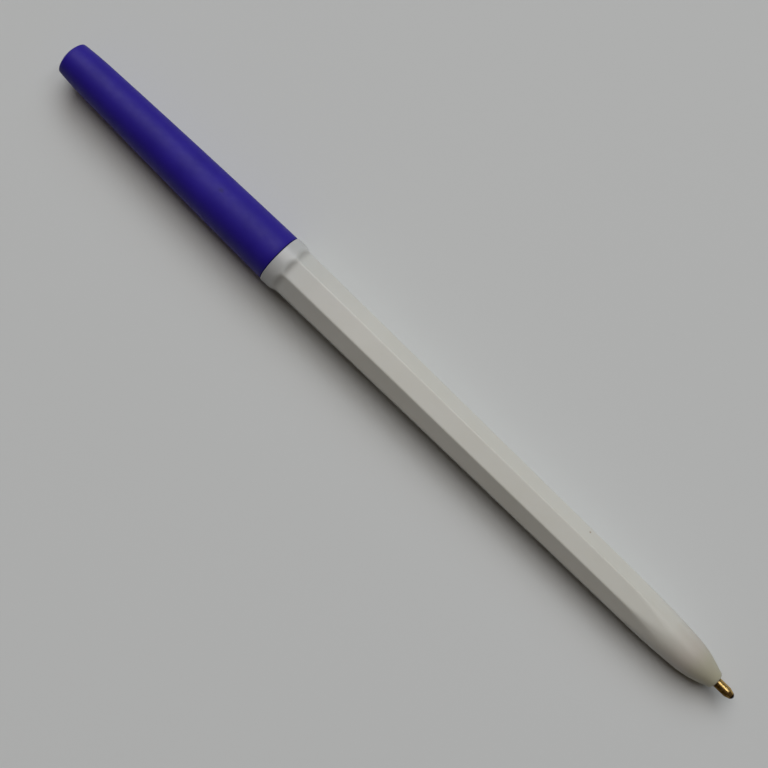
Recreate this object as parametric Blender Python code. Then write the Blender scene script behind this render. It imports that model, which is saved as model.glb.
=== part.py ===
"""A stick ballpoint pen with its tapered cap posted on the rear end.

Lengths are in millimetres and become metres when a mesh is made. The pen lies along X with its
writing end at +X. Stations along the pen, and the x in every outline, count from the rear face
of the barrel's collar; r is the distance from the pen's axis.
"""

import math

import bmesh
import bpy

MM = 0.001

# Overall
CAP_END_X = -47.33
BALL_END_X = 100.67
COLLAR_R = 4.46

# Barrel: a turned blank, cut by eight tapering flats
FLATS = 8
FLAT_START_X = 3.0
FLAT_START_APOTHEM = 4.0
FLAT_TAPER = 0.0063
RUNOUT_R = 2.0
RUNOUT_LENGTH = 1.45
LAND_SHARE = 1.067
COLLAR_FRONT_X = 2.2
LAND_START_X = 2.8
COLLAR_EDGE_R = 0.15
SPIGOT_END_X = -12.0
SPIGOT_ROOT_R = 3.58
SPIGOT_END_R = 3.33
SPIGOT_CHAMFER = 0.35

# Nose: a long gentle taper, then a tighter curve to a rounded rim
NOSE_START_X = 79.0
NOSE_TIGHT_X = 90.0
NOSE_MOUTH_X = 96.81
NOSE_SLOPE = 0.045
NOSE_GENTLE_CURVE = 0.0011
NOSE_TIGHT_CURVE = 0.0278
NOSE_RIM_START_X = 95.6
NOSE_RIM_R = 0.5
NOSE_RIM_INSET = 0.465
NOSE_RIM_START_ANGLE = 68
NOSE_RIM_END_ANGLE = 8

# Bore, from the rear: room for the refill, guide for its tube, seat for the tip, neck hole
BORE_REAR_R = 2.5
BORE_FRONT_R = 2.4
BORE_FRONT_X = 82.0
GUIDE_START_X = 87.0
GUIDE_END_X = 92.2
GUIDE_R = 1.65
SEAT_END_X = 95.1
SEAT_R = 1.25
NECK_HOLE_R = 1.0
BORE_STEP = 0.2

# Cap
CAP_MOUTH_X = -0.12
CAP_MOUTH_R = 4.36
CAP_SLOPE = 0.0144
CAP_CURVE = 0.000236
CAP_EDGE = 0.12
CAP_WALL = 0.68
CAP_WALL_GROWTH = 0.006
CAP_WALL_EVEN_LENGTH = 14.0
CAP_LEAD_IN = 0.15
SHOULDER_START = 41.0
SHOULDER_LENGTH = 5.7
SHOULDER_DROP = 0.20
DOME_HEIGHT = 0.65
DOME_FLAT_R = 1.3
DOME_STEPS = 4
CAP_FLOOR = 1.9
CAP_FLOOR_CORNER = 0.4

# End plug
PLUG_FLANGE_R = 3.1
PLUG_REAR_X = -13.0
PLUG_STEM_R = 2.42
PLUG_STEM_END_X = -4.4
PLUG_CUP_R = 1.62
PLUG_CUP_FLOOR_X = -6.6
PLUG_VENT_R = 0.55
PLUG_CHAMFER = 0.25
PLUG_GAP = 0.08

# Refill
TUBE_REAR_X = -6.33
TUBE_FRONT_X = 91.9
TUBE_R = 1.5
TUBE_BORE_R = 1.06
TUBE_EDGE = 0.08
INK_REAR_X = 4.0
INK_FRONT_X = 86.6
INK_R = 0.98
INK_HOLLOW = 0.5

# Tip
SHANK_TAIL_X = 87.2
SHANK_TAIL_R = 1.0
SHANK_X = 92.1
SHANK_R = 1.15
NECK_X = 94.9
NECK_R = 0.84
CONE_X = 99.33
LIP_X = 100.37
LIP_OUTER_R = 0.52
LIP_INNER_R = 0.472
SOCKET_R = 0.525
CHANNEL_R = 0.3
TIP_CHAMFER = 0.1
BALL_R = 0.5
BALL_X = BALL_END_X - BALL_R
SOCKET_FLOOR_X = BALL_X - 0.62
SOCKET_START_X = BALL_X - 0.32

# How far a cutting shape reaches past what it cuts
OVERRUN = 2.0

# Sides of a turned piece. Half a side of turn puts a side, not a corner, straight up and down.
FINE = 40
PLAIN = 32


def clear_scene():
    for thing in list(bpy.data.objects):
        bpy.data.objects.remove(thing, do_unlink=True)


def pen_axis():
    """The empty that every piece hangs from: on the pen's axis, at the collar's rear face."""
    axis = bpy.data.objects.new("pen_axis", None)
    axis.location = (-(CAP_END_X + BALL_END_X) / 2 * MM, 0.0, COLLAR_R * MM)
    bpy.context.collection.objects.link(axis)
    return axis


def material(name, colour, roughness, metallic=0.0):
    made = bpy.data.materials.new(name)
    made.use_nodes = True
    shader = made.node_tree.nodes["Principled BSDF"]
    shader.inputs["Base Color"].default_value = (*colour, 1.0)
    shader.inputs["Roughness"].default_value = roughness
    shader.inputs["Metallic"].default_value = metallic
    return made


def add_piece(name, shape, axis, look=None):
    """Turn a finished bmesh into a named object on the pen's axis."""
    mesh = bpy.data.meshes.new(name)
    shape.to_mesh(mesh)
    shape.free()
    mesh.shade_smooth()
    mesh.set_sharp_from_angle(angle=math.radians(28))
    piece = bpy.data.objects.new(name, mesh)
    bpy.context.collection.objects.link(piece)
    piece.parent = axis
    if look:
        mesh.materials.append(look)
    return piece


def joined_rings(rings, hollow):
    """Skin a run of point rings: a hollow one closes on its first ring, a solid one has end faces."""
    shape = bmesh.new()
    rows = [[shape.verts.new([MM * value for value in point]) for point in ring] for ring in rings]
    pairs = list(zip(rows, rows[1:]))
    if hollow:
        pairs.append((rows[-1], rows[0]))
    for one, other in pairs:
        for k in range(len(one)):
            after = (k + 1) % len(one)
            shape.faces.new((one[k], one[after], other[after], other[k]))
    if not hollow:
        shape.faces.new(rows[0])
        shape.faces.new(rows[-1])
    bmesh.ops.remove_doubles(shape, verts=shape.verts, dist=1e-8)
    bmesh.ops.recalc_face_normals(shape, faces=shape.faces)
    return shape


def ring(x, radius, count, turn=0.0):
    angles = [turn + 2 * math.pi * k / count for k in range(count)]
    return [(x, radius * math.cos(a), radius * math.sin(a)) for a in angles]


def turned(name, outline, count, axis, look=None, hollow=True):
    """A body of revolution from an outline of (x, r) points, closed on itself where it is hollow."""
    rings = [ring(x, radius, count, math.pi / count) for x, radius in outline]
    return add_piece(name, joined_rings(rings, hollow), axis, look)


def rounded(x, radius, size, start, end, steps):
    """Outline points on an arc about (x, radius), its angles in degrees from +X towards outside."""
    angles = [math.radians(start + (end - start) * k / steps) for k in range(steps + 1)]
    return [(x + size * math.cos(a), radius + size * math.sin(a)) for a in angles]


def spread(start, end, count):
    return [start + (end - start) * k / count for k in range(count + 1)]


def cut(target, tool, operation):
    step = target.modifiers.new(tool.name, "BOOLEAN")
    step.object = tool
    step.operation = operation
    step.solver = "EXACT"
    tool.hide_render = True
    tool.display_type = "WIRE"


def flat_apothem(x):
    """Distance of the flats from the axis."""
    return FLAT_START_APOTHEM - FLAT_TAPER * (x - FLAT_START_X)


def nose_radius(x):
    run = min(x, NOSE_TIGHT_X) - NOSE_START_X
    tight = max(x - NOSE_TIGHT_X, 0.0)
    slope = NOSE_SLOPE + 2 * NOSE_GENTLE_CURVE * (NOSE_TIGHT_X - NOSE_START_X)
    start = LAND_SHARE * flat_apothem(NOSE_START_X)
    gentle = start - NOSE_SLOPE * run - NOSE_GENTLE_CURVE * run**2
    return gentle - slope * tight - NOSE_TIGHT_CURVE * tight**2


def blank_outline():
    """The outside of the barrel before its flats: spigot, collar, body and nose."""
    edge = COLLAR_EDGE_R
    rim_x = NOSE_MOUTH_X - NOSE_RIM_INSET
    rim_r = nose_radius(rim_x) - NOSE_RIM_INSET
    points = [
        (SPIGOT_END_X, SPIGOT_END_R - SPIGOT_CHAMFER),
        (SPIGOT_END_X + SPIGOT_CHAMFER, SPIGOT_END_R),
        (0.0, SPIGOT_ROOT_R),
    ]
    points += rounded(edge, COLLAR_R - edge, edge, 180, 90, 3)
    points.append((COLLAR_FRONT_X, COLLAR_R))
    points.append((LAND_START_X, LAND_SHARE * flat_apothem(FLAT_START_X)))
    points += [(x, nose_radius(x)) for x in spread(NOSE_START_X, NOSE_TIGHT_X, 6)[:-1]]
    points += [(x, nose_radius(x)) for x in spread(NOSE_TIGHT_X, NOSE_RIM_START_X, 6)]
    points += rounded(rim_x, rim_r, NOSE_RIM_R, NOSE_RIM_START_ANGLE, NOSE_RIM_END_ANGLE, 4)
    return points


def flats_prism(axis):
    """An eight-sided tapering prism whose rear flares out past the collar in a hollow curve."""
    corner = math.pi / FLATS

    def eight(x, apothem):
        return ring(x, apothem / math.cos(corner), FLATS, corner)

    clear = COLLAR_R + OVERRUN
    rings = [eight(SPIGOT_END_X - OVERRUN, clear), eight(FLAT_START_X - RUNOUT_LENGTH, clear)]
    for k in range(6, -1, -1):
        back = RUNOUT_LENGTH * k / 6
        rise = RUNOUT_R - math.sqrt(RUNOUT_R**2 - back**2)
        rings.append(eight(FLAT_START_X - back, FLAT_START_APOTHEM + rise))
    past_nose = NOSE_MOUTH_X + OVERRUN
    rings.append(eight(past_nose, flat_apothem(past_nose)))
    return add_piece("flats_prism", joined_rings(rings, hollow=False), axis)


def bore_drill(axis):
    outline = [
        (SPIGOT_END_X - OVERRUN, BORE_REAR_R),
        (BORE_FRONT_X, BORE_FRONT_R),
        (GUIDE_START_X, GUIDE_R),
        (GUIDE_END_X, GUIDE_R),
        (GUIDE_END_X + BORE_STEP, SEAT_R),
        (SEAT_END_X, SEAT_R),
        (SEAT_END_X + BORE_STEP, NECK_HOLE_R),
        (NOSE_MOUTH_X + OVERRUN, NECK_HOLE_R),
    ]
    return turned("bore_drill", outline, PLAIN, axis, hollow=False)


def build_barrel(axis, look):
    barrel = turned("barrel", blank_outline(), FINE, axis, look, hollow=False)
    cut(barrel, flats_prism(axis), "INTERSECT")
    cut(barrel, bore_drill(axis), "DIFFERENCE")


def cap_radius(back):
    """Outside radius of the cap, a distance back from its mouth."""
    shoulder = max(back - SHOULDER_START, 0.0) / SHOULDER_LENGTH
    taper = CAP_SLOPE * back + CAP_CURVE * back**2
    return CAP_MOUTH_R - taper - SHOULDER_DROP * shoulder**2


def cap_inside_radius(back):
    wall = CAP_WALL + CAP_WALL_GROWTH * max(back - CAP_WALL_EVEN_LENGTH, 0.0)
    return cap_radius(back) - wall


def build_cap(axis, look):
    """The cap: a tapered sleeve with a shoulder, closed by a shallow dome with a flat in its middle."""
    floor_x = CAP_END_X + CAP_FLOOR
    floor_r = cap_inside_radius(CAP_MOUTH_X - floor_x)
    dome_back = CAP_MOUTH_X - CAP_END_X - DOME_HEIGHT
    dome_r = cap_radius(dome_back)
    walls = spread(6.0, SHOULDER_START, 6)
    shoulder = spread(SHOULDER_START, dome_back, 5)[1:]
    outside = [(CAP_MOUTH_X, CAP_MOUTH_R - CAP_EDGE)]
    outside += [(CAP_MOUTH_X - back, cap_radius(back)) for back in [CAP_EDGE] + walls + shoulder]
    for share in spread(0.0, 1.0, DOME_STEPS)[1:]:
        sink = DOME_HEIGHT * (1.0 - share) ** 1.5
        outside.append((CAP_END_X + sink, dome_r + (DOME_FLAT_R - dome_r) * share))
    ends = [(CAP_END_X, 0.0), (floor_x, 0.0)]
    ends.append((floor_x, floor_r - CAP_FLOOR_CORNER))
    ends.append((floor_x + CAP_FLOOR_CORNER, floor_r))
    inside = [(CAP_MOUTH_X - back, cap_inside_radius(back)) for back in reversed(walls)]
    inside.append((CAP_MOUTH_X - 3 * CAP_LEAD_IN, cap_inside_radius(3 * CAP_LEAD_IN)))
    inside.append((CAP_MOUTH_X, cap_inside_radius(0.0) + CAP_LEAD_IN))
    turned("cap", outside + ends + inside, FINE, axis, look)


def build_end_plug(axis, look):
    seat_x = SPIGOT_END_X - PLUG_GAP
    outline = [
        (PLUG_REAR_X, PLUG_VENT_R),
        (PLUG_CUP_FLOOR_X, PLUG_VENT_R),
        (PLUG_CUP_FLOOR_X, PLUG_CUP_R),
        (PLUG_STEM_END_X, PLUG_CUP_R),
        (PLUG_STEM_END_X, PLUG_STEM_R - PLUG_CHAMFER),
        (PLUG_STEM_END_X - PLUG_CHAMFER, PLUG_STEM_R),
        (seat_x, PLUG_STEM_R),
        (seat_x, PLUG_FLANGE_R),
        (PLUG_REAR_X + PLUG_CHAMFER, PLUG_FLANGE_R),
        (PLUG_REAR_X, PLUG_FLANGE_R - PLUG_CHAMFER),
    ]
    turned("end_plug", outline, PLAIN, axis, look)


def build_refill_tube(axis, look):
    outline = [
        (TUBE_REAR_X, TUBE_BORE_R),
        (TUBE_FRONT_X, TUBE_BORE_R),
        (TUBE_FRONT_X, TUBE_R - TUBE_EDGE),
        (TUBE_FRONT_X - TUBE_EDGE, TUBE_R),
        (TUBE_REAR_X + TUBE_EDGE, TUBE_R),
        (TUBE_REAR_X, TUBE_R - TUBE_EDGE),
    ]
    turned("refill_tube", outline, PLAIN, axis, look)


def build_ink(axis, look):
    """The paste column, with a hollow at its rear where it is drawn forward along the wall."""
    outline = [
        (INK_REAR_X, INK_R),
        (INK_FRONT_X, INK_R),
        (INK_FRONT_X, 0.0),
        (INK_REAR_X + INK_HOLLOW, 0.0),
    ]
    turned("ink", outline, PLAIN, axis, look)


def build_tip_body(axis, look):
    """The metal point: a shank in the tube, a slim neck, and a crimped socket for the ball."""
    outline = [
        (SHANK_TAIL_X, CHANNEL_R),
        (SOCKET_FLOOR_X, CHANNEL_R),
        (SOCKET_START_X, SOCKET_R),
        (BALL_X, SOCKET_R),
        (LIP_X, LIP_INNER_R),
        (LIP_X, LIP_OUTER_R),
        (CONE_X, NECK_R),
        (NECK_X + TIP_CHAMFER, NECK_R),
        (NECK_X, SHANK_R - TIP_CHAMFER),
        (NECK_X - TIP_CHAMFER, SHANK_R),
        (SHANK_X, SHANK_R),
        (SHANK_X, SHANK_TAIL_R),
        (SHANK_TAIL_X + TIP_CHAMFER, SHANK_TAIL_R),
        (SHANK_TAIL_X, SHANK_TAIL_R - TIP_CHAMFER),
    ]
    turned("tip_body", outline, PLAIN, axis, look)


def build_writing_ball(axis, look):
    """The ball, with its origin at its centre, about which it rolls."""
    shape = bmesh.new()
    bmesh.ops.create_uvsphere(shape, u_segments=24, v_segments=16, radius=BALL_R * MM)
    ball = add_piece("writing_ball", shape, axis, look)
    ball.location = (BALL_X * MM, 0.0, 0.0)


def main():
    clear_scene()
    axis = pen_axis()
    build_barrel(axis, material("barrel", (0.72, 0.71, 0.67), 0.38))
    build_cap(axis, material("cap", (0.035, 0.016, 0.27), 0.5))
    build_end_plug(axis, material("end_plug", (0.70, 0.69, 0.66), 0.45))
    build_refill_tube(axis, material("refill_tube", (0.75, 0.78, 0.80), 0.25))
    build_ink(axis, material("ink", (0.01, 0.01, 0.10), 0.3))
    build_tip_body(axis, material("tip_body", (0.72, 0.50, 0.20), 0.28, 1.0))
    build_writing_ball(axis, material("writing_ball", (0.30, 0.30, 0.31), 0.2, 1.0))


main()
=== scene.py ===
"""The looks of a stick ballpoint pen: white eight-sided barrel, matte blue-violet cap, brass point.

Every outline is in millimetres, with x along the pen from the rear face of the barrel's collar and
r from the pen's axis. The collar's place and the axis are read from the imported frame.
"""

import math

import bmesh
import bpy
from mathutils import Matrix, Vector


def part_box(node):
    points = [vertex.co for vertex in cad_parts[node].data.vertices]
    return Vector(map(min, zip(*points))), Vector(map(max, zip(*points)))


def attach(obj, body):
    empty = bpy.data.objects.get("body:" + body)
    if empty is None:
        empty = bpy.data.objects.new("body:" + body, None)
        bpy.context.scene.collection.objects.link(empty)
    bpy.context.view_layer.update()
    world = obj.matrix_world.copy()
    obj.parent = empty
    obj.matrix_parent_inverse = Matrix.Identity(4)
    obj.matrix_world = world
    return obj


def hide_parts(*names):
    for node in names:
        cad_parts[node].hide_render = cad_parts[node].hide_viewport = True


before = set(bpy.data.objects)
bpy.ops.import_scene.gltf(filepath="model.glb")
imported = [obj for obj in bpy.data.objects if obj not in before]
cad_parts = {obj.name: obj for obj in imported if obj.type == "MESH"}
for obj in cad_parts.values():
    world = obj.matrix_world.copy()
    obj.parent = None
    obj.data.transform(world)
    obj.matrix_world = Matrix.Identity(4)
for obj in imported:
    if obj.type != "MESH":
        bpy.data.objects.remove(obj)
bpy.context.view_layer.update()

MM = 0.001

# The pen's own origin, in metres: on its axis, at the collar's rear face. Behind that face the
# barrel has only its spigot, which is hidden in the cap.
SPIGOT_LENGTH = 12.0
ORIGIN_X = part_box("barrel")[0][0] + SPIGOT_LENGTH * MM
AXIS_Z = (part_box("cap")[0][2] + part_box("cap")[1][2]) / 2

# Barrel: collar and flats
FLATS = 8
FLAT_START_X = 3.4
FLAT_END_X = 84.4
FLAT_START_APOTHEM = 4.0
FLAT_TAPER = 0.0063
RUNOUT_SLOPE = math.radians(30)
RUNOUT_R = 1.9
EDGE_SOFTNESS = 0.15
RUNOUT_SOFTNESS = 0.28
COLLAR_R = 4.46
COLLAR_EDGE_R = 0.16
COLLAR_FRONT_X = 2.2

# Barrel: nose, with a long gentle taper, then a tighter curve to a rounded rim
NOSE_START_X = 79.0
NOSE_START_R = 3.757
NOSE_TIGHT_X = 90.0
NOSE_SLOPE = 0.045
NOSE_GENTLE_CURVE = 0.0011
NOSE_TIGHT_CURVE = 0.0278
NOSE_SOFTNESS = 0.12
NOSE_MOUTH_X = 96.81
NOSE_RIM_R = 0.5
NOSE_RIM_INSET = 0.465
NOSE_RIM_START_ANGLE = 68
NOSE_RIM_END_ANGLE = 8
MOUTH_EDGE = 0.08

# Barrel: bore, from the mouth of the nose to the rear, and spigot
NECK_HOLE_R = 1.0
SEAT_END_X = 95.1
SEAT_R = 1.25
GUIDE_END_X = 92.2
GUIDE_START_X = 87.0
GUIDE_R = 1.65
BORE_STEP = 0.2
BORE_FRONT_X = 82.0
BORE_FRONT_R = 2.4
BORE_REAR_R = 2.5
SPIGOT_ROOT_R = 3.58
SPIGOT_END_R = 3.33
SPIGOT_EDGE = 0.4

# Cap
CAP_MOUTH_X = -0.12
CAP_END_X = -47.33
CAP_LENGTH = CAP_MOUTH_X - CAP_END_X
CAP_MOUTH_R = 4.36
CAP_SLOPE = 0.0144
CAP_CURVE = 0.000236
CAP_EDGE_R = 0.14
SHOULDER_START = 41.0
SHOULDER_LENGTH = 5.7
SHOULDER_DROP = 0.20
CAP_DOME = 0.65
CAP_DOME_FLAT_R = 1.3
GATE_R = 0.75
GATE_DEPTH = 0.12
GATE_PIP_R = 0.2
CAP_WALL = 0.68
CAP_WALL_GROWTH = 0.006
CAP_WALL_EVEN_LENGTH = 14.0
CAP_FLOOR = 1.9
CAP_FLOOR_CORNER_R = 0.4
CAP_LEAD_LENGTH = 0.45
CAP_LEAD_IN = 0.16
CAP_SIDES = 128

# Point and ball
BALL_END_X = 100.67
BALL_R = 0.5
BALL_X = BALL_END_X - BALL_R
BALL_STEPS = 24
SOCKET_R = 0.525
INK_HOLE_R = 0.3
LIP_X = 100.37
LIP_R = 0.49
CONE_X = 99.33
NECK_X = 94.9
NECK_R = 0.84
SHANK_X = 92.1
SHANK_R = 1.15
SHANK_TAIL_X = 87.2
SHANK_TAIL_R = 1.0
POINT_SIDES = 64

# Paint on the barrel: painted shade near the collar, and a browner tint where the nose is thin
COLLAR_SHADE_END_X = 18.0
THIN_END_X = 97.0

# Marks on the plastic: the middle of each, and its half size along each axis
SPECK_PLACE = (65.9, 3.0, 2.1)
SPECK_SIZE = (0.22, 0.16, 0.3)
DIMPLE_PLACE = (-13.6, 1.1, 3.95)
DIMPLE_SIZE = (0.70, 0.50, 0.8)

# Room, in metres
LIGHT_DISTANCE = 5.0
FLOOR_SIZE = 6.0


# ---------------------------------------------------------------- mesh helpers

def pen_piece(name, rings, material, body, replaced, loop=True):
    """Skin a run of equal point rings, put the piece on the pen's axis and ride it on its body.

    With loop, the last ring also joins the first one.
    """
    shape = bmesh.new()
    rows = []
    for points in rings:
        rows.append([shape.verts.new([MM * value for value in point]) for point in points])
    pairs = list(zip(rows, rows[1:]))
    if loop:
        pairs.append((rows[-1], rows[0]))
    for one, other in pairs:
        for k in range(len(one)):
            after = (k + 1) % len(one)
            shape.faces.new((one[k], one[after], other[after], other[k]))
    bmesh.ops.remove_doubles(shape, verts=shape.verts, dist=1e-8)
    bmesh.ops.recalc_face_normals(shape, faces=shape.faces)
    mesh = bpy.data.meshes.new(name)
    shape.to_mesh(mesh)
    shape.free()
    mesh.shade_smooth()
    mesh.set_sharp_from_angle(angle=math.radians(30))
    mesh.materials.append(material)
    piece = bpy.data.objects.new(name, mesh)
    bpy.context.scene.collection.objects.link(piece)
    piece.location = (ORIGIN_X, 0.0, AXIS_Z)
    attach(piece, body)
    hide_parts(replaced)


def even_angles(count):
    return [2 * math.pi * k / count for k in range(count)]


def flat_angles():
    """Directions round the barrel, close together at its corners."""
    half = math.pi / FLATS
    shares = (0.0, 0.022, 0.045, 0.07, 0.1, 0.135, 0.18, 0.25, 0.36, 0.5, 0.66, 0.83, 1.0)
    from_corner = [half * share for share in shares]
    angles = []
    for k in range(FLATS):
        corner = half + 2 * half * k
        angles += [corner + step for step in from_corner]
        angles += [corner + 2 * half - step for step in reversed(from_corner[1:-1])]
    return angles


def ring(x, radius, angles):
    """One ring; radius is a number, or a function of the direction."""
    points = []
    for angle in angles:
        reach = radius(angle) if callable(radius) else radius
        points.append((x, reach * math.cos(angle), reach * math.sin(angle)))
    return points


def arc(x, radius, size, start, end, steps):
    """Outline points about (x, radius), angles in degrees from +X towards the outside."""
    angles = [math.radians(start + (end - start) * k / steps) for k in range(steps + 1)]
    return [(x + size * math.cos(a), radius + size * math.sin(a)) for a in angles]


def spread(start, end, count):
    """Even steps from start to end, with both of them included."""
    return [start + (end - start) * k / count for k in range(count + 1)]


def soft_min(one, other, width):
    """The smaller of two lengths, with the crossing rounded over width."""
    mix = max(width - abs(one - other), 0.0) / width
    return min(one, other) - mix * mix * width / 4


# ---------------------------------------------------------------- node helpers

class Nodes:
    """A short way to build one material's node tree."""

    def __init__(self, name):
        self.material = bpy.data.materials.new(name)
        self.material.use_nodes = True
        self.tree = self.material.node_tree
        self.shader = self.tree.nodes["Principled BSDF"]
        self.place = self.add("ShaderNodeTexCoord").outputs["Object"]

    def add(self, kind, **settings):
        node = self.tree.nodes.new(kind)
        for key, value in settings.items():
            setattr(node, key, value)
        return node

    def give(self, socket, value):
        """Link a socket, or set it to a plain number, vector or colour."""
        if isinstance(value, bpy.types.NodeSocket):
            self.tree.links.new(value, socket)
        elif socket.type == "RGBA":
            socket.default_value = (*value, 1.0)
        else:
            socket.default_value = value

    def set(self, name, value):
        """Give a shader input a plain value or a link."""
        self.give(self.shader.inputs[name], value)

    def coordinate(self, axis):
        """One coordinate of a place on the piece, in metres: X runs along the pen, Y across it."""
        node = self.add("ShaderNodeSeparateXYZ")
        self.give(node.inputs["Vector"], self.place)
        return node.outputs[axis]

    def stretch(self, scale):
        """The object's own coordinates, scaled along each axis."""
        node = self.add("ShaderNodeMapping")
        self.give(node.inputs["Scale"], scale)
        self.give(node.inputs["Vector"], self.place)
        return node.outputs["Vector"]

    def noise(self, scale, detail, rough=0.5, vector=None):
        node = self.add("ShaderNodeTexNoise")
        self.give(node.inputs["Scale"], scale)
        self.give(node.inputs["Detail"], detail)
        self.give(node.inputs["Roughness"], rough)
        self.give(node.inputs["Vector"], vector or self.place)
        return node.outputs["Fac"]

    def ramp(self, source, stops):
        """Stops are (position, grey or colour)."""
        node = self.add("ShaderNodeValToRGB")
        elements = node.color_ramp.elements
        while len(elements) < len(stops):
            elements.new(0.5)
        for element, (position, value) in zip(elements, stops):
            colour = (value,) * 3 if isinstance(value, float) else value
            element.position = position
            element.color = (*colour, 1.0)
        self.give(node.inputs["Fac"], source)
        return node.outputs["Color"]

    def span(self, source, low, high, to_low=0.0, to_high=1.0, smooth=False):
        """Map low..high to to_low..to_high, held at both ends."""
        node = self.add("ShaderNodeMapRange")
        node.interpolation_type = "SMOOTHSTEP" if smooth else "LINEAR"
        self.give(node.inputs["From Min"], low)
        self.give(node.inputs["From Max"], high)
        self.give(node.inputs["To Min"], to_low)
        self.give(node.inputs["To Max"], to_high)
        self.give(node.inputs["Value"], source)
        return node.outputs["Result"]

    def mix(self, factor, one, other, blend="MIX"):
        """Mix colours. The node's factor is input 0 and its colours are inputs 6 and 7."""
        node = self.add("ShaderNodeMix", data_type="RGBA", blend_type=blend)
        self.give(node.inputs[0], factor)
        self.give(node.inputs[6], one)
        self.give(node.inputs[7], other)
        return node.outputs[2]

    def maths(self, operation, one, other):
        node = self.add("ShaderNodeMath", operation=operation)
        self.give(node.inputs[0], one)
        self.give(node.inputs[1], other)
        return node.outputs[0]

    def vectors(self, operation, vector, other=(0.0, 0.0, 0.0)):
        """Vector maths; the result is a number for LENGTH and a vector otherwise."""
        node = self.add("ShaderNodeVectorMath", operation=operation)
        self.give(node.inputs[0], vector)
        self.give(node.inputs[1], other)
        return node.outputs["Value" if operation == "LENGTH" else "Vector"]

    def spot(self, centre, sizes, edge):
        """1 inside a small ellipsoid, given in mm, and fading to 0 over the edge share of its size."""
        moved = self.vectors("SUBTRACT", self.place, [MM * value for value in centre])
        scaled = self.vectors("DIVIDE", moved, [MM * value for value in sizes])
        reach = self.vectors("LENGTH", scaled)
        return self.span(reach, 1.0 - edge, 1.0, 1.0, 0.0, smooth=True)

    def bump(self, layers):
        """Stack bumps; a layer is (height socket, strength, depth in mm)."""
        normal = None
        for height, strength, depth in layers:
            node = self.add("ShaderNodeBump")
            self.give(node.inputs["Strength"], strength)
            self.give(node.inputs["Distance"], depth * MM)
            self.give(node.inputs["Height"], height)
            if normal:
                self.give(node.inputs["Normal"], normal)
            normal = node.outputs["Normal"]
        self.set("Normal", normal)


# ---------------------------------------------------------------- materials

def runout_shade(look):
    """1 in the hollow run-outs in front of the collar, where painted shade darkens them, and 0
    elsewhere.
    """
    x = look.coordinate("X")
    start = look.span(x, (COLLAR_FRONT_X - 0.7) * MM, (COLLAR_FRONT_X + 0.1) * MM, smooth=True)
    end = look.span(
        x, (COLLAR_FRONT_X + 0.4) * MM, (COLLAR_FRONT_X + 1.6) * MM, 1.0, 0.0, smooth=True
    )
    from_axis = look.vectors("LENGTH", look.vectors("MULTIPLY", look.place, (0.0, 1.0, 1.0)))
    below_collar = look.span(
        from_axis, (COLLAR_R - 0.26) * MM, (COLLAR_R - 0.04) * MM, 1.0, 0.0, smooth=True
    )
    return look.maths("MULTIPLY", look.maths("MULTIPLY", start, end), below_collar)


def barrel_tint_and_shade(look):
    """The barrel's colour: painted shade near the collar, browner where the nose's wall is thin."""
    clouds = look.noise(90, 4.0, 0.55)
    base = look.ramp(clouds, [(0.30, (0.535, 0.545, 0.500)), (0.70, (0.560, 0.572, 0.535))])
    # Painted shade: darker and bluer towards the collar, beside the cap.
    collar_shade = look.ramp(
        look.span(look.coordinate("X"), 0.0, COLLAR_SHADE_END_X * MM),
        [
            (0.0, (0.80, 0.82, 0.90)),
            (0.10, (0.82, 0.84, 0.90)),
            (0.19, (0.93, 0.95, 0.99)),
            (0.45, (0.97, 0.975, 1.0)),
            (1.0, 1.0),
        ],
    )
    thin = look.ramp(
        look.span(look.coordinate("X"), NOSE_START_X * MM, THIN_END_X * MM),
        [
            (0.0, 1.0),
            (0.35, (0.97, 0.96, 0.95)),
            (0.64, (0.81, 0.76, 0.73)),
            (0.80, (0.70, 0.67, 0.57)),
            (1.0, (0.66, 0.63, 0.49)),
        ],
    )
    return look.mix(1.0, look.mix(1.0, base, collar_shade, "MULTIPLY"), thin, "MULTIPLY")


def white_plastic():
    """Satin moulded plastic, a little yellowed, with light grime, handling scratches and painted shade
    at the collar and its run-outs.
    """
    look = Nodes("white_plastic")
    smears = look.noise(420, 5.0, 0.7, look.stretch((0.35, 1, 1)))
    grime = look.ramp(smears, [(0.60, 0.0), (0.78, 1.0)])
    colour = look.mix(look.maths("MULTIPLY", grime, 0.10), barrel_tint_and_shade(look), (0.42, 0.36, 0.28))
    # Painted shade in the hollow run-outs in front of the collar.
    colour = look.mix(look.maths("MULTIPLY", runout_shade(look), 0.24), colour, (0.16, 0.14, 0.12))
    speck = look.spot(SPECK_PLACE, SPECK_SIZE, 0.5)
    colour = look.mix(look.maths("MULTIPLY", speck, 0.7), colour, (0.20, 0.10, 0.04))
    look.set("Base Color", colour)
    look.set("Roughness", look.span(look.noise(600, 3.0, 0.6), 0.3, 0.7, 0.30, 0.42))
    look.set("IOR", 1.5)
    look.set("Specular IOR Level", 0.5)
    look.set("Subsurface Weight", 0.06)
    look.set("Subsurface Radius", (1.0, 0.8, 0.6))
    look.set("Subsurface Scale", 1.2 * MM)
    ripple = look.noise(110, 1.0, 0.4, look.stretch((0.25, 1, 1)))
    peel = look.noise(2400, 2.0)
    streaks = look.noise(2600, 3.0, 0.6, look.stretch((0.03, 1, 1)))
    scratches = look.ramp(streaks, [(0.62, 0.0), (0.72, 1.0)])
    look.bump([(ripple, 0.5, 0.06), (peel, 0.25, 0.006), (scratches, 0.2, -0.004)])
    return look.material


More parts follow.
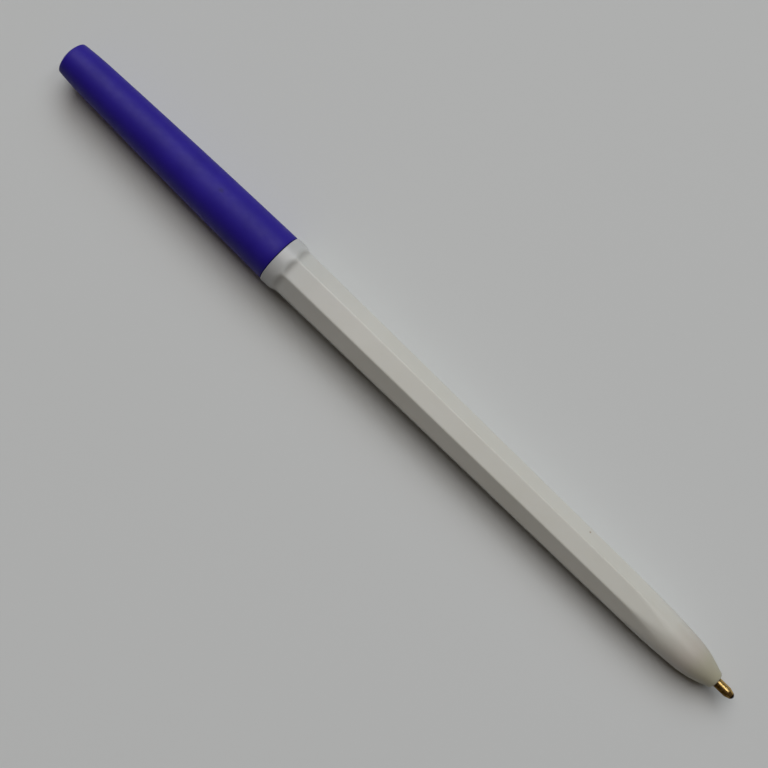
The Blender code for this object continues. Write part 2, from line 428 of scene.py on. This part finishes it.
def blue_plastic():
    """Matte moulded plastic with a fine eroded grain and one shallow pit, darkened by painted shade."""
    look = Nodes("blue_plastic")
    clouds = look.noise(160, 4.0, 0.6)
    base = look.ramp(clouds, [(0.30, (0.0165, 0.0085, 0.215)), (0.70, (0.0215, 0.0115, 0.260))])
    dimple_and_shade = look.spot(DIMPLE_PLACE, DIMPLE_SIZE, 0.9)
    # Painted shade in the pit's hollow, on top of its bump.
    colour = look.mix(look.maths("MULTIPLY", dimple_and_shade, 0.35), base, (0.006, 0.004, 0.04))
    look.set("Base Color", colour)
    look.set("Roughness", look.span(look.noise(900, 3.0, 0.6), 0.3, 0.7, 0.46, 0.58))
    look.set("IOR", 1.5)
    look.set("Specular IOR Level", 0.18)
    grain = look.noise(5200, 2.0, 0.6)
    look.bump([(grain, 0.35, 0.012), (dimple_and_shade, 0.6, -0.06)])
    return look.material


def brass():
    """Turned brass: fine rings, light tarnish, painted dark reflection on one side, painted nose
    shadow, ink at the lip.
    """
    look = Nodes("tip_brass")
    patches = look.noise(700, 4.0, 0.6)
    metal = look.ramp(patches, [(0.35, (0.60, 0.40, 0.13)), (0.65, (0.78, 0.55, 0.22))])
    # Painted dark reflection on the point's -Y side, in patches.
    shaded_side = look.span(look.coordinate("Y"), -0.12 * MM, -0.60 * MM)
    dark_patches = look.maths("MULTIPLY", shaded_side, look.span(look.noise(900, 2.0), 0.3, 0.6, 0.6, 1.0))
    colour = look.mix(dark_patches, metal, (0.09, 0.05, 0.012))
    x = look.coordinate("X")
    at_lip = look.span(x, (LIP_X - 0.45) * MM, (LIP_X - 0.05) * MM, smooth=True)
    # Painted shadow of the nose on the point, just in front of the mouth; the lip's darkening is ink.
    nose_shadow = look.span(x, (NOSE_MOUTH_X + 0.12) * MM, (NOSE_MOUTH_X + 0.42) * MM, 1.0, 0.0)
    lip_ink_and_nose_shadow = look.maths("MAXIMUM", at_lip, look.maths("MULTIPLY", nose_shadow, 0.9))
    look.set("Base Color", look.mix(lip_ink_and_nose_shadow, colour, (0.05, 0.035, 0.03)))
    look.set("Metallic", 1.0)
    rings = look.noise(9000, 1.0, 0.5, look.stretch((1, 0.02, 0.02)))
    look.set("Roughness", look.span(rings, 0.3, 0.7, 0.24, 0.31))
    look.set("Specular Tint", (0.50, 0.36, 0.20))
    look.bump([(rings, 0.12, 0.003)])
    return look.material


def ball_metal():
    """Polished ball under patches of dull drying ink."""
    look = Nodes("ball_steel")
    dark_patches = look.noise(1800, 3.0, 0.6)
    look.set("Base Color", look.ramp(dark_patches, [(0.4, (0.03, 0.03, 0.07)), (0.62, (0.28, 0.28, 0.30))]))
    look.set("Metallic", 1.0)
    look.set("Roughness", look.span(dark_patches, 0.3, 0.7, 0.35, 0.12))
    return look.material


def hidden_plastic(name, low, high, roughness, scale):
    """A plain look for a piece inside the pen: clouds between two colours and a faint grain."""
    look = Nodes(name)
    look.set("Base Color", look.ramp(look.noise(scale, 4.0, 0.6), [(0.3, low), (0.7, high)]))
    wear = look.noise(scale * 4, 3.0)
    look.set("Roughness", look.span(wear, 0.3, 0.7, roughness, roughness + 0.1))
    look.bump([(look.noise(scale * 9, 2.0), 0.3, 0.01)])
    return look.material


# ---------------------------------------------------------------- barrel

def flat_apothem(x):
    """Distance of the flats from the axis, with the hollow run-out that lifts them to the collar."""
    apothem = FLAT_START_APOTHEM - FLAT_TAPER * (x - FLAT_START_X)
    back = max(FLAT_START_X - x, 0.0)
    bend = min(back, RUNOUT_R * math.sin(RUNOUT_SLOPE))
    rise = RUNOUT_R - math.sqrt(RUNOUT_R**2 - bend**2)
    return apothem + rise + (back - bend) * math.tan(RUNOUT_SLOPE)


def nose_radius(x):
    """The nose's outline; behind its start it runs on straight."""
    run = min(x, NOSE_TIGHT_X) - NOSE_START_X
    tight = max(x - NOSE_TIGHT_X, 0.0)
    slope = NOSE_SLOPE + 2 * NOSE_GENTLE_CURVE * (NOSE_TIGHT_X - NOSE_START_X)
    gentle = NOSE_START_R - NOSE_SLOPE * run - NOSE_GENTLE_CURVE * max(run, 0.0) ** 2
    return gentle - slope * tight - NOSE_TIGHT_CURVE * tight**2


def barrel_radius(x):
    """The barrel's outside at a station, as a function of the direction round it."""
    sector = 2 * math.pi / FLATS
    collar = COLLAR_R
    if x < COLLAR_EDGE_R:
        collar -= COLLAR_EDGE_R - math.sqrt(COLLAR_EDGE_R**2 - (COLLAR_EDGE_R - x) ** 2)
    apothem = flat_apothem(x)
    nose = nose_radius(x)

    def reach(angle):
        off = abs((angle + sector / 2) % sector - sector / 2)
        octagon = soft_min(apothem / math.cos(off), apothem / math.cos(sector - off), EDGE_SOFTNESS)
        return soft_min(soft_min(octagon, nose, NOSE_SOFTNESS), collar, RUNOUT_SOFTNESS)

    return reach


def barrel_stations():
    """Where the outside has its rings: close together at the collar's edge, run-outs and nose."""
    stations = [COLLAR_EDGE_R * (1 - math.cos(math.radians(a))) for a in (0, 20, 40, 60, 75, 90)]
    stations += [0.4, 0.8] + spread(1.1, 3.1, 40) + [3.6, 4.2, 5.0]
    return stations + spread(7.0, 77.0, 28) + spread(78.0, NOSE_TIGHT_X, 24) + spread(90.3, 95.8, 18)


def barrel_inside():
    """From the nose's rim back through the bore, then over the spigot to the collar's rear face."""
    rim_x = NOSE_MOUTH_X - NOSE_RIM_INSET
    rim_r = nose_radius(rim_x) - NOSE_RIM_INSET
    outline = arc(rim_x, rim_r, NOSE_RIM_R, NOSE_RIM_START_ANGLE, NOSE_RIM_END_ANGLE, steps=8)
    return outline + [
        (NOSE_MOUTH_X, NECK_HOLE_R + MOUTH_EDGE),
        (NOSE_MOUTH_X - MOUTH_EDGE, NECK_HOLE_R),
        (SEAT_END_X + BORE_STEP, NECK_HOLE_R),
        (SEAT_END_X, SEAT_R),
        (GUIDE_END_X + BORE_STEP, SEAT_R),
        (GUIDE_END_X, GUIDE_R),
        (GUIDE_START_X, GUIDE_R),
        (BORE_FRONT_X, BORE_FRONT_R),
        (-SPIGOT_LENGTH, BORE_REAR_R),
        (-SPIGOT_LENGTH, SPIGOT_END_R - 0.75 * SPIGOT_EDGE),
        (-SPIGOT_LENGTH + 0.25 * SPIGOT_EDGE, SPIGOT_END_R - 0.25 * SPIGOT_EDGE),
        (-SPIGOT_LENGTH + SPIGOT_EDGE, SPIGOT_END_R),
        (-SPIGOT_LENGTH / 2, (SPIGOT_ROOT_R + SPIGOT_END_R) / 2),
        (-0.15, SPIGOT_ROOT_R),
        (-0.04, SPIGOT_ROOT_R + 0.03),
        (0.0, SPIGOT_ROOT_R + 0.14),
    ]


def barrel_rings():
    angles = flat_angles()
    outside = [ring(x, barrel_radius(x), angles) for x in barrel_stations()]
    return outside + [ring(x, radius, angles) for x, radius in barrel_inside()]


# ---------------------------------------------------------------- cap

def cap_radius(back):
    """The cap's outside at a distance back from its mouth."""
    shoulder = max(back - SHOULDER_START, 0.0) / SHOULDER_LENGTH
    taper = CAP_SLOPE * back + CAP_CURVE * back**2
    return CAP_MOUTH_R - taper - SHOULDER_DROP * shoulder**2


def cap_inside_radius(back):
    wall = CAP_WALL + CAP_WALL_GROWTH * max(back - CAP_WALL_EVEN_LENGTH, 0.0)
    return cap_radius(back) - wall


def cap_outside():
    """From the mouth's edge back to the round corner, then over the dome to its flat middle."""
    dome_back = CAP_LENGTH - CAP_DOME
    corner_x = CAP_END_X + CAP_DOME + 0.12
    corner_r = cap_radius(dome_back)
    stations = [0.12] + spread(1.0, SHOULDER_START, 40)
    stations += spread(SHOULDER_START + 0.4, dome_back - 0.2, 12)
    outline = [(CAP_MOUTH_X, CAP_MOUTH_R - CAP_EDGE_R), (CAP_MOUTH_X - 0.03, CAP_MOUTH_R - 0.05)]
    outline += [(CAP_MOUTH_X - back, cap_radius(back)) for back in stations]
    outline += arc(corner_x, corner_r - CAP_EDGE_R, CAP_EDGE_R, start=80, end=125, steps=5)
    for share in spread(0.12, 1.0, 10):
        sink = CAP_DOME * (1 - share) ** 1.5
        outline.append((CAP_END_X + sink, corner_r + (CAP_DOME_FLAT_R - corner_r) * share))
    return outline


def cap_gate():
    """The small round sink in the middle of the end, with the gate's pip at its centre."""
    deep_x = CAP_END_X + GATE_DEPTH
    return [
        (CAP_END_X, GATE_R),
        (CAP_END_X + 0.04, GATE_R - 0.07),
        (deep_x, GATE_R - 0.15),
        (deep_x, GATE_PIP_R + 0.08),
        (deep_x - 0.07, GATE_PIP_R),
        (deep_x - 0.08, 0.0),
    ]


def cap_inside():
    """From the middle of the floor to the lead-in at the mouth."""
    floor_back = CAP_LENGTH - CAP_FLOOR
    floor_x = CAP_MOUTH_X - floor_back
    corner_x = floor_x + CAP_FLOOR_CORNER_R
    corner_r = cap_inside_radius(floor_back) - CAP_FLOOR_CORNER_R
    mouth_r = cap_inside_radius(0.0)
    outline = [(floor_x, 0.0), (floor_x, corner_r)]
    outline += arc(corner_x, corner_r, CAP_FLOOR_CORNER_R, start=165, end=100, steps=5)
    outline += [(CAP_MOUTH_X - back, cap_inside_radius(back)) for back in spread(43.0, 1.0, 21)]
    return outline + [
        (CAP_MOUTH_X - CAP_LEAD_LENGTH, cap_inside_radius(0.4)),
        (CAP_MOUTH_X - 0.05, mouth_r + 0.1),
        (CAP_MOUTH_X, mouth_r + CAP_LEAD_IN),
    ]


def cap_rings():
    angles = even_angles(CAP_SIDES)
    return [ring(x, radius, angles) for x, radius in cap_outside() + cap_gate() + cap_inside()]


# ---------------------------------------------------------------- point and ball

def point_rings():
    """From the rear through the ink hole and the ball's socket, over the lip and back outside."""
    outline = [
        (SHANK_TAIL_X, INK_HOLE_R),
        (BALL_X - 0.62, INK_HOLE_R),
        (BALL_X - 0.32, SOCKET_R),
        (BALL_X, SOCKET_R),
        (LIP_X - 0.08, LIP_R + 0.005),
        (LIP_X, LIP_R - 0.015),
        (LIP_X + 0.005, LIP_R),
        (LIP_X, LIP_R + 0.02),
        (LIP_X - 0.05, LIP_R + 0.04),
        (CONE_X + 0.08, NECK_R - 0.03),
        (CONE_X + 0.02, NECK_R - 0.008),
        (CONE_X - 0.05, NECK_R),
    ]
    outline += [(x, NECK_R) for x in spread(CONE_X - 0.4, NECK_X + 0.3, 10)]
    outline += [
        (NECK_X + 0.12, NECK_R + 0.02),
        (NECK_X, SHANK_R - 0.1),
        (NECK_X - 0.1, SHANK_R),
        (SHANK_X + 0.06, SHANK_R),
        (SHANK_X, SHANK_R - 0.06),
        (SHANK_X, SHANK_TAIL_R),
        (SHANK_TAIL_X + 0.1, SHANK_TAIL_R),
        (SHANK_TAIL_X, SHANK_TAIL_R - 0.1),
    ]
    angles = even_angles(POINT_SIDES)
    return [ring(x, radius, angles) for x, radius in outline]


def ball_rings():
    """A ball whose poles lie on the pen's axis."""
    angles = even_angles(2 * BALL_STEPS)
    outline = arc(BALL_X, 0.0, BALL_R, start=180, end=0, steps=BALL_STEPS)
    return [ring(x, max(radius, 0.0), angles) for x, radius in outline]


# ---------------------------------------------------------------- stage, light and camera

def add_floor():
    """A pale floor that touches the pen where it rests: under the collar and the flat's front end."""
    flat_end_z = AXIS_Z - MM * (FLAT_START_APOTHEM - FLAT_TAPER * (FLAT_END_X - FLAT_START_X))
    lean = math.atan2(flat_end_z, MM * (FLAT_END_X - COLLAR_FRONT_X))
    bpy.ops.mesh.primitive_plane_add(size=FLOOR_SIZE)
    floor = bpy.context.object
    floor.name = "floor"
    pivot = Vector((ORIGIN_X + COLLAR_FRONT_X * MM, 0.0, 0.0))
    floor.matrix_world = Matrix.Translation(pivot) @ Matrix.Rotation(-lean, 4, "Y")
    look = Nodes("floor")
    look.set("Base Color", (0.575, 0.605, 0.61))
    look.set("Roughness", 0.75)
    look.set("Specular IOR Level", 0.2)
    look.bump([(look.noise(1500, 3.0, 0.6), 0.25, 0.02)])
    floor.data.materials.append(look.material)


def place_with_axes(name, data, place, right, back):
    """Add a light or camera that looks away from back, with right as its own X."""
    thing = bpy.data.objects.new(name, data)
    bpy.context.scene.collection.objects.link(thing)
    axes = Matrix((right, back.cross(right), back)).transposed().to_4x4()
    thing.matrix_world = Matrix.Translation(place) @ axes
    return thing


def add_light(name, towards, width, height, energy, colour):
    """A soft light in the direction towards, its width running along the pen."""
    back = Vector(towards).normalized()
    along = (Vector((1.0, 0.0, 0.0)) - back.x * back).normalized()
    data = bpy.data.lights.new(name, "AREA")
    data.shape = "RECTANGLE"
    data.size = width
    data.size_y = height
    data.energy = energy
    data.color = colour
    place_with_axes(name, data, LIGHT_DISTANCE * back, along, back)


def add_room():
    """A cool window on the cap's side, a warm ceiling, a narrow strip light and a dim room."""
    add_light(
        "window", (-0.35, 1.10, 1.0), width=4.5, height=2.9, energy=42.0, colour=(0.86, 1.00, 1.14)
    )
    add_light(
        "ceiling", (-0.40, 0.50, 1.0), width=4.5, height=4.6, energy=184.0, colour=(1.05, 0.99, 0.955)
    )
    add_light("strip", (0.30, 0.54, 1.0), width=0.6, height=2.5, energy=21.0, colour=(1.0, 1.0, 1.0))
    world = bpy.data.worlds.new("room")
    bpy.context.scene.world = world
    world.use_nodes = True
    background = world.node_tree.nodes["Background"]
    background.inputs["Color"].default_value = (1.0, 0.72, 0.54, 1.0)
    background.inputs["Strength"].default_value = 0.045


def add_camera():
    """Almost straight down on the pen, turned so that it lies from top left to bottom right."""
    data = bpy.data.cameras.new("camera")
    data.sensor_width = 36.0
    data.lens = 66.2
    data.clip_start = 0.01
    place = Vector((0.00515, -0.01349, 0.23026))
    target = Vector((-0.00068, -0.00256, 0.0))
    back = (place - target).normalized()
    turn = math.radians(44.14)
    right = Vector((math.cos(turn), math.sin(turn), 0.0))
    right = (right - right.dot(back) * back).normalized()
    bpy.context.scene.camera = place_with_axes("camera", data, place, right, back)


# ---------------------------------------------------------------- the pen

def add_shells():
    """The four pieces that stand for rougher CAD nodes."""
    pen_piece(
        "barrel_shell", barrel_rings(), white_plastic(),
        body="pen", replaced="barrel",
    )
    pen_piece(
        "cap_shell", cap_rings(), blue_plastic(),
        body="cap", replaced="cap",
    )
    pen_piece(
        "brass_point", point_rings(), brass(),
        body="pen", replaced="tip_body",
    )
    pen_piece(
        "ball", ball_rings(), ball_metal(),
        body="ball", replaced="writing_ball", loop=False,
    )


def paint_inner_pieces():
    """The CAD's own plug, tube and ink stay, with a material each."""
    looks = {
        "end_plug": hidden_plastic("plug_plastic", (0.64, 0.63, 0.59), (0.72, 0.71, 0.68), 0.45, 300),
        "refill_tube": hidden_plastic("tube_plastic", (0.66, 0.69, 0.72), (0.74, 0.77, 0.8), 0.22, 200),
        "ink": hidden_plastic("ink_paste", (0.008, 0.008, 0.09), (0.015, 0.012, 0.13), 0.25, 250),
    }
    for node, material in looks.items():
        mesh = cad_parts[node].data
        mesh.materials.clear()
        mesh.materials.append(material)


def main():
    add_shells()
    paint_inner_pieces()
    add_floor()
    add_room()
    add_camera()
    bpy.context.scene.view_settings.view_transform = "Standard"


main()
